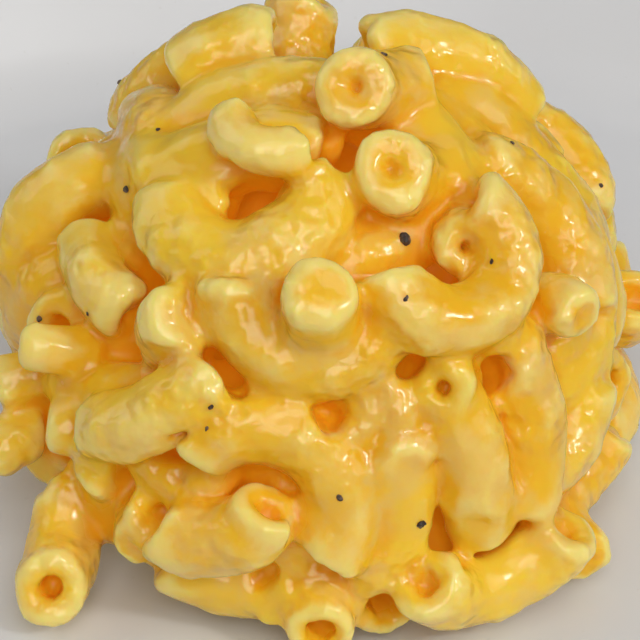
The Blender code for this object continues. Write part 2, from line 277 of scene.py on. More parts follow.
# Elbows that lie in the heap's face, by the middle of their bend: degrees around from the front,
# height, heading, roll (0 bends in the face, 90 dives at both ends), bend, sweep, how proud, and
# how thick where that isn't 1.
lyingElbows = (
    (-1.5, 33.6, 0, 0, 7.6, 185, 2.4, 1.04),
    (-20, 41.7, 14, 15, 7.8, 185, 2.0, 1.04),
    (15, 43, 15, 30, 12, 60, -1.4),
    (33, 35.8, 20, 8, 6.8, 225, 3.2, 0.95),
    (-80, 43, 15, 90, 12, 90, -0.5),
    (-92, 46.5, 20, 80, 9, 80, 0.4),
    (-97, 31, 90, 90, 12, 90, 0.8),
    (-57, 46.3, 10, 70, 12, 70, 0.4),
    (-57, 35.3, -16, 75, 10, 70, 1.4, 0.9),
    (-84, 33.5, 90, 90, 12, 90, 1.0),
    (-78, 26, 60, 80, 10, 80, 0.4),
    (-23, 48.6, -15, 25, 4.4, 190, 3.0, 0.68),
    (93, 46.9, -91, 90, 12, 70, 0.6, 0.9),
    (92, 43, 90, 60, 10, 90, 0.2),
    (71, 38.5, 90, 25, 14, 85, 1.8, 1.08),
    (88, 36.5, 90, 90, 12, 90, 0.3),
    (80, 31, 90, 90, 12, 90, 0),
    (59, 30, 45, 90, 7.5, 100, -0.2),
    (40.5, 25.5, 92, 10, 18, 80, 1.9),
    (26.5, 20.4, 97, 90, 20, 47, 2.8, 0.84),
    (13.5, 15.5, 80, 10, 13, 75, 1.2, 0.95),
    (29, 5.6, 3, 0, 10, 120, 3.0, 0.95),
    (-29, 26.2, 36, 60, 12, 76, 2.4),
    (-45, 23.6, 12, 70, 11, 75, 0.2),
    (-1.5, 25.2, 142, 0, 8.5, 180, 1.9),
    (-15, 14.6, 20, 0, 8, 105, 2.5, 0.9),
    (-25, 18.2, 5, 20, 4.5, 160, 0.6, 0.7),
    (-15, 4.6, 0, 0, 14, 65, 1.6),
    (-6, 9, 45, 60, 9, 90, 0),
    (-42, 15, 100, 60, 12, 80, -0.3),
    (52, 48.6, -101, 90, 16, 75, 0.8, 1.08),
    (75, 51, -85, 90, 14, 90, -0.6),
    (-110, 51.6, 110, 90, 12, 50, 1.5),
    (-65, 52.5, 65, 90, 14, 90, 0.8),
    (-50, 51, 45, 90, 14, 80, -0.6),
    (-42, 49.3, 38, 90, 12, 80, 0.9),
    (108, 49.4, -100, 90, 16, 70, 1.5),
    (46.5, 14.5, 10, 10, 8.5, 130, 0.3),
    (56, 6, 10, 0, 14, 70, 0),
    (8, 28, 90, 90, 8, 80, -1.5),
    (14, 26.5, 95, 80, 10, 55, 1.0, 0.5),
    (8, 27.5, 80, 80, 8, 50, 0.0, 0.5),
    (-68, 14, 90, 90, 11, 80, 0.5),
    (62, 25, 20, 60, 9, 80, 0.4),
    (-40, 7.5, -30, 60, 10, 80, -0.5),
)

# Elbows with an open end on view, by that end: degrees around, height, the way the tube leans
# inside the heap (heading, degrees from straight in), turn of the bend, bend, sweep, how proud,
# then how thick, and the radius of its hole.
standingElbows = (
    (0, 39.0, 270, 12, 0, 30, 20, 5.0, 0.92, 0.0),
    (33.8, 41, 50, 22, 0, 8, 90, 1.4, 0.8, 1.0),
    (20.6, 47.0, 60, 10, 60, 8, 100, 1.9, 0.97, 1.1),
    (15.6, 51.5, 64, 32, 64, 10, 78, 1.9, 1.0, 0.9),
    (20.8, 30, 10, 40, 180, 9, 80, 2.0, 0.8, 1.1),
    (11, 5.4, 270, 12, 180, 9, 90, 1.5, 0.95, 2.4),
    (0, 5.3, 270, 12, 180, 9, 90, 2, 0.95, 1.7),
    (-26, 36.5, 215, 55, 180, 12, 75, 1.5, 1.0, 0.7),
    (-51, 19.8, 0, 40, 180, 8, 60, 1.0, 0.8, 0.0),
    (-40.5, 18, 90, 35, 180, 7, 60, 1.0, 0.7, 0.0),
    (-42, 14.5, 60, 35, 180, 7, 60, 0.6, 0.65, 0.6),
    (-57, 27, 20, 50, 180, 7, 60, 0.8, 0.65, 0.0),
    (-66, 19, 60, 40, 180, 7, 60, 1.8, 0.7, 0.0),
    (-61, 12, 100, 45, 180, 7, 60, 2.2, 0.75, 0.6),
    (-50, 10, 20, 35, 180, 7, 60, 0.8, 0.6, 0.0),
    (-29, 11, 180, 40, 180, 8, 70, 1.0, 0.8, 1.8),
    (-26, 14.6, 240, 40, 180, 12, 70, 0.5),
    (49, 32, 60, 40, 180, 8, 60, 1.8, 0.75, 0.5),
    (14.5, 23.4, 90, 25, 0, 9, 60, 1.4, 0.6, 0.0),
    (-8, 6.5, 300, 35, 180, 7, 60, 1.6, 0.7, 0.0),
    (47, 5, 330, 30, 180, 7, 60, 1.5, 0.8, 0.7),
    (-39.6, 7.4, 227, 50, 137, 9, 85, 6, 1.0, 1.5),
)

# Deep gaps between elbows: degrees around, height, heading, then length, width and depth.
deepGaps = (
    (-28, 46.9, 20, 6, 4, 7),
    (-67, 34.1, 95, 8, 2.4, 5),
    (-41, 31.2, 15, 10, 3.6, 8),
    (-21.5, 26.5, 43, 8, 1.8, 5),
    (-14, 30.5, 10, 4, 2.2, 6),
    (2, 28.5, -10, 8, 3.4, 8),
    (-4, 17.2, 70, 5, 3.0, 6),
    (-9, 9.0, 50, 7, 2.6, 6),
    (166, 52, 90, 8, 4.5, 7),
    (125, 53.6, 0, 5, 4.5, 4),
    (8, 14.5, 85, 5, 1.5, 4),
    (21, 10.5, 20, 4, 1.8, 4),
    (33, 29.7, 80, 7, 3.6, 9),
    (14, 50.5, 25, 5.5, 1.2, 3.5),
    (32, 45.7, 40, 2, 2, 3.5),
    (9, 45.3, 0, 2, 2, 3.5),
    (-24, 20.1, 60, 3.5, 2.5, 5),
    (54, 25.3, 85, 9, 1.8, 5),
    (29, 39.3, -15, 3.5, 1.2, 2.5),
    (9, 20.9, 0, 1.8, 1.5, 3),
    (19.5, 24.5, 80, 8, 1.8, 5),
    (-46, 30.2, 20, 5, 2.5, 6),
    (22, 34.5, 60, 4, 1.6, 5),
    (9, 31, -15, 3, 2, 4),
)

filling = {
    "seed": 7,
    "spots": 420,
    "tries": 9,
    "levels": ((0.0, 6.5), (-2.4, 5.6), (-4.8, 4.0)),   # how proud, and how far apart their centrelines are
    "spiral": 137.508,      # degrees from one spot to the next
    "lowest": 2.5,          # the spots start at this height
    "topMargin": 0.4,       # and end this far below the top
    "bend": (8, 13),
    "sweep": (75, 150),
    "proudSpread": (-1.2, 0.5),
    "lyingUpTo": 0.45,      # this share lies in the face
    "divingUpTo": 0.85,     # up to this one they dive at both ends, and the rest stand
    "lyingRoll": (-15, 35),
    "divingRoll": (55, 100),
    "divingSweep": 100,
    "standingLean": (0, 40),
    "standingSweep": 80,
    "standingProud": 0.8,
    "sunkInFloor": 0.6,     # how far a tube may reach under the floor
    "standsOut": 1.2,       # how far a tube may reach past the envelope
    "shoulder": 44,         # height above which that is measured upwards
    "gapShares": (0.3, 0.8),        # places down a deep gap that are kept free
}

settling = {
    "apart": 6.6,           # centrelines closer than this make the lower elbow sink
    "rounds": 60,
    "step": 0.3,
    "deepest": 2.6,
    "sunkInFloor": 0.4,     # an elbow that reaches this far under the floor sinks no more
}


def settle(elbows):
    lines = np.array([[tuple(point) for point in centreline(elbow)] for elbow in elbows])
    outs = np.array([tuple(elbow["out"]) for elbow in elbows])
    proud = np.array([elbow["proud"] for elbow in elbows])
    above = proud[None, :] > proud[:, None]
    sunk = np.zeros(len(elbows))
    count, steps = lines.shape[:2]
    for _ in range(settling["rounds"]):
        points = (lines - outs[:, None] * sunk[:, None, None]).reshape(-1, 3)
        square = (points ** 2).sum(1)
        apart = square[:, None] + square[None, :] - 2 * points @ points.T
        nearest = apart.reshape(count, steps, count, steps).min(axis=(1, 3))
        overlap = np.clip(settling["apart"] - np.sqrt(np.maximum(nearest, 0)), 0, None)
        push = np.where(above, overlap, 0).max(axis=1) * settling["step"]
        low = points.reshape(count, steps, 3)[:, :, 2].min(axis=1)
        push = np.where(low > heap["tube"] - settling["sunkInFloor"], push, 0)
        sunk = np.minimum(sunk + push, settling["deepest"])
    for elbow, depth in zip(elbows, sunk):
        elbow["start"] = elbow["start"] - elbow["out"] * float(depth)
    return elbows


def standsOut(line):
    most = -heap["tube"]
    for point in line:
        height = min(max(point.z, 0), heap["belly"] + heap["crownRise"] - 0.05)
        radial = math.hypot(point.x, point.y) - envelope(height) + heap["tube"]
        overhead = point.z - heap["belly"] - heap["crownRise"] + heap["tube"]
        most = max(most, radial if height < filling["shoulder"] else overhead)
    return most


def randomElbow(rng, around, height, level):
    heading = rng.uniform(0, 360)
    bend = rng.uniform(*filling["bend"])
    sweep = rng.uniform(*filling["sweep"])
    proud = level + rng.uniform(*filling["proudSpread"])
    kind = rng.random()
    if kind < filling["lyingUpTo"]:
        roll = rng.uniform(*filling["lyingRoll"])
        return lyingElbow(around, height, heading, roll, bend, sweep, proud)
    if kind < filling["divingUpTo"]:
        roll = rng.uniform(*filling["divingRoll"])
        return lyingElbow(around, height, heading, roll, bend, min(sweep, filling["divingSweep"]), proud)
    lean = rng.uniform(*filling["standingLean"])
    return standingElbow(around, height, heading, lean, 180, bend, filling["standingSweep"],
                         proud + filling["standingProud"])


def fillHeap(elbows):
    rng = random.Random(filling["seed"])
    taken = [point for elbow in elbows for point in centreline(elbow)]
    for around, height, *_, depth in deepGaps:
        place, *_, out = surfaceFrame(around, height)
        taken += [place - out * (share * depth) for share in filling["gapShares"]]
    taken = np.array(taken)
    span = heap["belly"] + heap["crownRise"] - filling["lowest"] - filling["topMargin"]
    for depth, (level, clearance) in enumerate(filling["levels"]):
        for spot in range(filling["spots"]):
            height = filling["lowest"] + (spot + 0.5) / filling["spots"] * span
            for _ in range(filling["tries"]):
                elbow = randomElbow(rng, spot * filling["spiral"], height, level)
                line = centreline(elbow)
                lowest = min(point.z for point in line)
                if lowest < heap["tube"] - filling["sunkInFloor"] or standsOut(line) > filling["standsOut"]:
                    continue
                new = np.array(line)
                if np.linalg.norm(taken[None] - new[:, None], axis=2).min() >= clearance:
                    elbow["fillLayer"] = (3 if spot % 2 else 2, 1, 0)[depth]
                    elbows.append(elbow)
                    taken = np.concatenate([taken, new])
                    break
    return elbows


pasta = {
    "seed": 31,
    "layerSteps": (0.25, 0.9, 1.45, 2.1, 2.9, 9.0),  # how proud each further layer of placed elbows starts
    "groove": 0.75,         # room round an elbow where it lies on a lower one
    "bore": (1.3, 2.1),     # radius of the hole
    "around": 20,           # facets round a tube
    "stations": 16,         # steps along a tube
    "holeDepth": (1.5, 6.0),
    "ovality": 0.06,        # most that a tube is out of round, as a share of its radius
    "thickness": (0.94, 1.05),
    "unevenness": 0.22,
    "unevenScale": 0.16,
    "firstLayer": 4,        # layer of the lowest elbows that are placed; the seeded ones take 0 to 3
}


def makeStraightTube():
    # Each row is the share of the outer radius, the share of the bore, how far past the end, how deep.
    profile = [(0.0, 0.0, 0.0, 1.05), (0.0, 0.55, 0.0, 1.0), (0.0, 0.92, 0.0, 0.86)]
    profile += [(0.0, 1.0, 0.6, deep) for deep in (0.6, 0.25, 0.0)]
    for step in range(1, 9):
        angle = math.pi * (1 - step / 8)
        outer = 0.5 + math.cos(angle) / 2
        profile.append((outer, 1 - outer, 0.6 - math.sin(angle) * 0.6, 0.0))
    rows = [(outer, bore, 0.0, past, deep) for outer, bore, past, deep in profile]
    rows += [(1.0, 0.0, step / pasta["stations"], 0.6 * (1 - 2 * step / pasta["stations"]), 0.0)
             for step in range(1, pasta["stations"])]
    rows += [(outer, bore, 1.0, -past, -deep) for outer, bore, past, deep in reversed(profile)]
    count = pasta["around"]
    body = bmesh.new()
    names = ("outerPart", "borePart", "share", "past", "deep")
    layers = [body.verts.layers.float.new(name) for name in names]
    rings = []
    for row in rows:
        ring = []
        for step in range(count if row[0] + row[1] else 1):
            angle = 2 * math.pi * step / count
            vert = body.verts.new((math.cos(angle), math.sin(angle), row[2] * 20 + row[3]))
            for layer, value in zip(layers, row):
                vert[layer] = value
            ring.append(vert)
        rings.append(ring)
    for lower, upper in zip(rings, rings[1:]):
        for step in range(count):
            after = (step + 1) % count
            if len(lower) == 1:
                body.faces.new((lower[0], upper[after], upper[step]))
            elif len(upper) == 1:
                body.faces.new((lower[step], lower[after], upper[0]))
            else:
                body.faces.new((lower[step], lower[after], upper[after], upper[step]))
    bmesh.ops.recalc_face_normals(body, faces=body.faces)
    return addObject("straightTube", meshFrom(body, "straightTube"))


def makeElbowPoints(elbows):
    rng = random.Random(pasta["seed"])
    mesh = bpy.data.meshes.new("elbowPoints")
    mesh.from_pydata([elbow["start"] for elbow in elbows], [], [])
    for elbow in elbows:
        elbow["sweepAngle"] = math.radians(elbow["sweep"])
        elbow["holeDepth"] = elbow.get("holeDepth", rng.uniform(*pasta["holeDepth"]))
        elbow["bore"] = elbow.get("bore", rng.uniform(*pasta["bore"]))
        elbow["oval"] = rng.uniform(-1, 1) * pasta["ovality"]
        elbow["tint"] = rng.random()
        elbow["thick"] *= rng.uniform(*pasta["thickness"])
        step = sum("onTop" in elbow or elbow["proud"] >= proud for proud in pasta["layerSteps"])
        elbow["layer"] = elbow.get("fillLayer", pasta["firstLayer"] + step)
    for name in ("bend", "sweepAngle", "thick", "bore", "holeDepth", "oval", "tint", "layer"):
        numbers = [elbow[name] for elbow in elbows]
        mesh.attributes.new(name, "FLOAT", "POINT").data.foreach_set("value", numbers)
    for name in ("start", "along", "inward"):
        flat = [number for elbow in elbows for number in elbow[name]]
        mesh.attributes.new(name, "FLOAT_VECTOR", "POINT").data.foreach_set("vector", flat)
    return addObject("elbowPoints", mesh)


def bendTree():
    sizes = (("Tube Radius", 4.0), ("Extra", 0.0), ("Open", 1.0), ("Unevenness", 0.2), ("Uneven Scale", 0.2))
    build, given = startTree("bentElbows", sizes, ("Tube",))
    tube = build.node("GeometryNodeObjectInfo", {}, {"Object": given["Tube"]}, output="Geometry")
    copies = build.node("GeometryNodeInstanceOnPoints", {}, {"Points": given["Geometry"], "Instance": tube})
    real = build.node("GeometryNodeRealizeInstances", {}, {"Geometry": copies})
    value = {name: build.named(name) for name in
             ("outerPart", "borePart", "share", "past", "deep",
              "bend", "sweepAngle", "thick", "bore", "holeDepth", "oval")}
    vector = {name: build.named(name, "FLOAT_VECTOR") for name in ("start", "along", "inward")}
    deep = value["deep"] * value["holeDepth"] * given["Open"]
    angle = value["share"] * value["sweepAngle"] + (value["past"] + deep) / value["bend"]
    position = build.node("GeometryNodeInputPosition")
    local = position - vector["start"]
    x, y = build.node("ShaderNodeSeparateXYZ", {}, {0: local}, output=("X", "Y"))
    side = build.node("ShaderNodeVectorMath", {"operation": "CROSS_PRODUCT"},
                      {0: vector["along"], 1: vector["inward"]})
    across = vector["inward"] * angle.cos() - vector["along"] * angle.sin()
    centre = vector["start"] + vector["inward"] * (value["bend"] - value["bend"] * angle.cos()) \
        + vector["along"] * (value["bend"] * angle.sin())
    radius = value["outerPart"] * (value["thick"] * given["Tube Radius"] + given["Extra"]) \
        + value["borePart"] * value["bore"] * given["Open"]
    place = centre + across * (x * radius * (value["oval"] + 1)) + side * (y * radius * (1 - value["oval"]))
    bent = build.node("GeometryNodeSetPosition", {}, {"Geometry": real, "Position": place})
    noise = build.node("ShaderNodeTexNoise", {"noise_dimensions": "3D"},
                       {"Scale": given["Uneven Scale"], "Detail": 1.0}, output="Color")
    wander = (noise - (0.5, 0.5, 0.5)) * (given["Unevenness"] * 4)
    uneven = build.node("GeometryNodeSetPosition", {}, {"Geometry": bent, "Offset": wander})
    endTree(build, uneven)
    return build


sauce = {
    "voxel": 0.42,
    "fillet": 0.6,          # radius of the sauce that bridges between elbows
    "round": 0.55,          # radius at rims and cut ends
    "lump": 0.4,            # broad lumps, and how many to a millimetre
    "lumpScale": 0.2,
    "curd": 0.1,            # fine lumps
    "curdScale": 0.75,
    "patchScale": 0.1,      # of the places where the fine lumps gather
    "triangles": 190000,
    "cutHeight": 0.05,      # where the underside is cut flat
    "hullVoxel": 0.9,
    "hullReach": 3.2,       # gaps narrower than twice this count as pits
}


def coreMesh():
    body = bmesh.new()
    made = bmesh.ops.create_uvsphere(body, u_segments=96, v_segments=64, radius=1)
    depth = heap["coreDepth"]
    top = heap["belly"] + heap["crownRise"] - depth
    for vert in made["verts"]:
        height = (vert.co.z + 1) / 2 * top
        level = math.hypot(vert.co.x, vert.co.y)
        reach = max(envelope(height + depth * height / top) - depth, 0)
        scale = reach / level if level > 1e-6 else 0
        vert.co = Vector((vert.co.x * scale, vert.co.y * scale, height - 1))
        swell = sum(noise.noise(vert.co * scale) * rise for scale, rise in heap["coreSwell"])
        vert.co += vert.co.normalized() * swell * min(height / heap["coreCalm"], 1)
    return addObject("core", meshFrom(body, "core"))


def gapMesh():
    body = bmesh.new()
    for number, (around, height, heading, length, width, depth) in enumerate(deepGaps):
        place, right, uphill, out = surfaceFrame(around, height)
        turn = math.radians(heading)
        along = right * math.cos(turn) + uphill * math.sin(turn)
        across = out.cross(along)
        made = bmesh.ops.create_icosphere(body, subdivisions=4, radius=1)
        for vert in made["verts"]:
            rough = 1 + 0.45 * noise.noise(vert.co * 1.3 + Vector((number * 7.1, 0, 0)))
            x, y, z = vert.co * rough
            bowed = (x * x - 0.4) * width * 0.3     # a gap curves along the tube beside it
            flare = 0.75 + 0.25 * z                 # and narrows as it goes down
            vert.co = place - out * depth * 0.35 + along * (x * flare * length / 2) \
                + across * (y * flare * width / 2 + bowed) + out * (z * depth * 0.65)
    return addObject("gaps", meshFrom(body, "gaps"))


def meshOf(build, item):
    return build.node("GeometryNodeObjectInfo", {}, {"Object": item}, output="Geometry")


def asGrid(build, mesh, voxel):
    return build.node("GeometryNodeMeshToSDFGrid", {}, {"Mesh": mesh, "Voxel Size": voxel, "Band Width": 4})


def without(build, grid, cutter):
    grids = {"Grid 1": grid, "Grid 2": cutter}
    return build.node("GeometryNodeSDFGridBoolean", {"operation": "DIFFERENCE"}, grids)


def withAll(build, *grids):
    return build.node("GeometryNodeSDFGridBoolean", {"operation": "UNION"}, {"Grid 2": list(grids)})


def rolledOver(build, grid, voxel, moves):
    for number, move in enumerate(moves):       # each one grows the surface, or shrinks it where negative
        grid = asGrid(build, geometry, voxel) if number else grid
        geometry = build.node("GeometryNodeGridToMesh", {}, {"Grid": grid, "Threshold": move})
    return geometry


def sauceTree():
    sizes = (("Voxel", 0.4), ("Fillet", 0.9), ("Round", 0.5), ("Lump", 0.3), ("Lump Scale", 0.2),
             ("Curd", 0.15), ("Curd Scale", 0.8), ("Patch Scale", 0.12))
    build, given = startTree("saucedHeap", sizes, ("Core", "Gaps", "Cutters"))
    core, gaps, cutters = [meshOf(build, given[name]) for name in ("Core", "Gaps", "Cutters")]
    voxel = given["Voxel"]

    def inLayer(geometry, layer):
        same = build.node("FunctionNodeCompare", {"data_type": "FLOAT", "operation": "EQUAL"},
                          {0: build.named("layer"), 1: float(layer), "Epsilon": 0.1})
        return build.node("GeometryNodeSeparateGeometry", {"domain": "POINT"},
                          {"Geometry": geometry, "Selection": same}, output="Selection")

    lowest = build.node("GeometryNodeJoinGeometry", {}, {"Geometry": [inLayer(given["Geometry"], 0), core]})
    grid = asGrid(build, lowest, voxel)
    for layer in range(1, pasta["firstLayer"] + 1 + len(pasta["layerSteps"])):
        grid = without(build, grid, asGrid(build, inLayer(cutters, layer), voxel))
        grid = withAll(build, grid, asGrid(build, inLayer(given["Geometry"], layer), voxel))
    grid = without(build, grid, asGrid(build, gaps, voxel))
    moves = (given["Fillet"], (given["Fillet"] + given["Round"]) * -1.0, given["Round"])
    skin = rolledOver(build, grid, voxel, moves)
    position = build.node("GeometryNodeInputPosition")
    even = build.node("GeometryNodeBlurAttribute", {"data_type": "FLOAT_VECTOR"},
                      {"Value": position, "Iterations": 2, "Weight": 0.6})
    smooth = build.node("GeometryNodeSetPosition", {}, {"Geometry": skin, "Position": even})

    def bumps(scale, detail):
        return build.node("ShaderNodeTexNoise", {}, {"Scale": scale, "Detail": detail, "Roughness": 0.5},
                          output="Fac")

    patches = bumps(given["Patch Scale"], 1.0).ramp(0.44, 0.6)
    lumps = bumps(given["Lump Scale"], 2.0).ramp(0.42, 0.75) * given["Lump"]
    curds = (bumps(given["Curd Scale"], 1.5) - 0.5) * (patches * 0.8 + 0.2) * (given["Curd"] * 3)
    normal = build.node("GeometryNodeInputNormal")
    swollen = {"Geometry": smooth, "Offset": normal * (lumps + curds)}
    lumpy = build.node("GeometryNodeSetPosition", {}, swollen)
    marked = build.node("GeometryNodeStoreNamedAttribute", {"data_type": "FLOAT", "domain": "POINT"},
                        {"Geometry": lumpy, "Name": "patch", "Value": patches})
    endTree(build, marked)
    return build


def hullTree():
    build, given = startTree("heapHull", (("Voxel", 1.0), ("Reach", 3.5)))
    grid = asGrid(build, given["Geometry"], given["Voxel"])
    endTree(build, rolledOver(build, grid, given["Voxel"], (given["Reach"], given["Reach"] * -1.0)))
    return build


def keepLargestShell(body):
    unseen = set(body.verts)
    largest = set()
    while unseen:
        shell = {unseen.pop()}
        border = list(shell)
        while border:
            for edge in border.pop().link_edges:
                for vert in edge.verts:
                    if vert in unseen:
                        unseen.remove(vert)
                        shell.add(vert)
                        border.append(vert)
        largest = max(largest, shell, key=len)
    bmesh.ops.delete(body, geom=[vert for vert in body.verts if vert not in largest], context="VERTS")


def flatUnderside(mesh, floor):
    body = bmesh.new()
    body.from_mesh(mesh)
    keepLargestShell(body)
    everything = body.verts[:] + body.edges[:] + body.faces[:]
    bmesh.ops.bisect_plane(body, geom=everything, plane_co=(0, 0, floor), plane_no=(0, 0, -1),
                           clear_outer=True)
    edges = [edge for edge in body.edges if edge.is_boundary]
    bmesh.ops.holes_fill(body, edges=edges, sides=0)
    bmesh.ops.triangulate(body, faces=body.faces[:])
    body.to_mesh(mesh)
    body.free()


def thinned(item, triangles):
    count = sum(len(face.vertices) - 2 for face in item.data.polygons)
    if count > triangles:
        fewer = item.modifiers.new("fewer", "DECIMATE")
        fewer.ratio = triangles / count
        mesh = bpy.data.meshes.new_from_object(item.evaluated_get(bpy.context.evaluated_depsgraph_get()))
        item.modifiers.remove(fewer)
        item.data = mesh
    return item


def lookTree(material):
    build, given = startTree("sauceMeasures", (), ("Elbows", "Hull"))
    elbows = meshOf(build, given["Elbows"])
    hull = meshOf(build, given["Hull"])
    depth = build.node("GeometryNodeProximity", {"target_element": "FACES"}, {0: elbows}, output="Distance")
    pit = build.node("GeometryNodeProximity", {"target_element": "FACES"}, {0: hull}, output="Distance")
    tint = build.node("GeometryNodeSampleNearestSurface", {"data_type": "FLOAT"},
                      {"Mesh": elbows, "Value": build.named("tint")})
    geometry = given["Geometry"]
    place = build.node("GeometryNodeInputPosition")
    blurred = build.node("GeometryNodeBlurAttribute", {"data_type": "FLOAT_VECTOR"},
                         {"Value": place, "Iterations": 14})
    ridge = build.node("ShaderNodeVectorMath", {"operation": "DOT_PRODUCT"},
                       {0: place - blurred, 1: build.node("GeometryNodeInputNormal")}, output="Value")
    measures = (("sauceDepth", depth, 3), ("pitDepth", pit, 2), ("tint", tint, 5), ("ridge", ridge, 2))
    for name, value, rounds in measures:
        soft = build.node("GeometryNodeBlurAttribute", {"data_type": "FLOAT"},
                          {"Value": value, "Iterations": rounds})
        geometry = build.node("GeometryNodeStoreNamedAttribute", {"data_type": "FLOAT", "domain": "POINT"},
                              {"Geometry": geometry, "Name": name, "Value": soft})
    endTree(build, geometry, material)
    return build


def makeHeap(material):
    elbows = [lyingElbow(*row) for row in lyingElbows] + [standingElbow(*row) for row in standingElbows]
    elbows = fillHeap(settle(elbows))
    report(f"{len(elbows)} elbows placed")
    tube = makeStraightTube()
    points = makeElbowPoints(elbows)
    sizes = {"Tube": tube, "Tube Radius": heap["tube"], "Unevenness": pasta["unevenness"],
             "Uneven Scale": pasta["unevenScale"]}
    bent = grown(points, bendTree(), sizes, "bentElbows")
    cutters = grown(points, bendTree(), {**sizes, "Extra": pasta["groove"], "Open": 0.0}, "elbowRoom")
    core = coreMesh()
    gaps = gapMesh()
    report("elbows bent")
    coat = {"Core": core, "Gaps": gaps, "Cutters": cutters, "Voxel": sauce["voxel"],
            "Fillet": sauce["fillet"], "Round": sauce["round"], "Lump": sauce["lump"],
            "Lump Scale": sauce["lumpScale"], "Curd": sauce["curd"],
            "Curd Scale": sauce["curdScale"], "Patch Scale": sauce["patchScale"]}
    skin = grown(bent, sauceTree(), coat, "sauceSkin")
    report(f"sauce fused, {len(skin.data.polygons)} faces")
    flatUnderside(skin.data, sauce["cutHeight"])
    report("underside cut")
    hull = grown(skin, hullTree(), {"Voxel": sauce["hullVoxel"], "Reach": sauce["hullReach"]}, "heapHull")
    thinned(skin, sauce["triangles"])
    report(f"heap thinned to {len(skin.data.polygons)} faces")
    made = grown(skin, lookTree(material), {"Elbows": bent, "Hull": hull}, "macaroni")
    lift = Matrix.Translation((0, 0, heap["floorHeight"] * millimetre))
    made.data.transform(lift @ Matrix.Scale(millimetre, 4))
    made.data.shade_smooth()
    discard(tube, points, bent, cutters, core, gaps, skin, hull)
    report("heap made")
    return made


# Materials.

def startMaterial(name):
    material = bpy.data.materials.new(name)
    material.use_nodes = True
    tree = material.node_tree
    tree.nodes.clear()
    build = NodeBuild(tree)
    shader = tree.nodes.new("ShaderNodeBsdfPrincipled")
    out = tree.nodes.new("ShaderNodeOutputMaterial")
    tree.links.new(shader.outputs[0], out.inputs["Surface"])
    return material, build, shader


def feed(build, shader, name, value):
    if isinstance(value, Wire):
        build.tree.links.new(value.socket, shader.inputs[name])
    else:
        shader.inputs[name].default_value = value


def colour(red, green, blue):
    return tuple((c / 12.92 if c <= 0.04045 else ((c + 0.055) / 1.055) ** 2.4)
                 for c in (red / 255, green / 255, blue / 255)) + (1.0,)


cheese = {
    "pasta": colour(250, 206, 60),
    "pastaDeeper": colour(243, 189, 34),
    # pale cream of the convex rims: partly paler sauce, partly painted highlight
    "sauce": colour(254, 230, 140),
    "thinSauce": colour(232, 202, 128),
    # painted shade: the deeper orange that creases are turned
    "creaseShade": colour(243, 182, 26),
    # painted shade: the orange of the pits, also the colour of their painted glow
    "pit": colour(240, 168, 16),
    "roughness": 0.19,
    "bump": 0.7,
    "paintedPitGlow": 0.1,           # painted glow: emission in the deepest pits, standing in for light that the translucent sauce carries into them
    "bumpDepth": 0.00088,
    "smearShare": 0.85,     # how strongly each colour covers the ones before it
    "filmShare": 0.4,
    "paleSauceAndSheenShare": 0.75,
    "creaseShadeShare": 0.85,
    "pitShadeShare": 0.9,
    "refraction": 1.5,
    "softness": 0.8,        # share of the light that passes under the surface
    "lightReach": (0.0024, 0.0012, 0.0003),
}


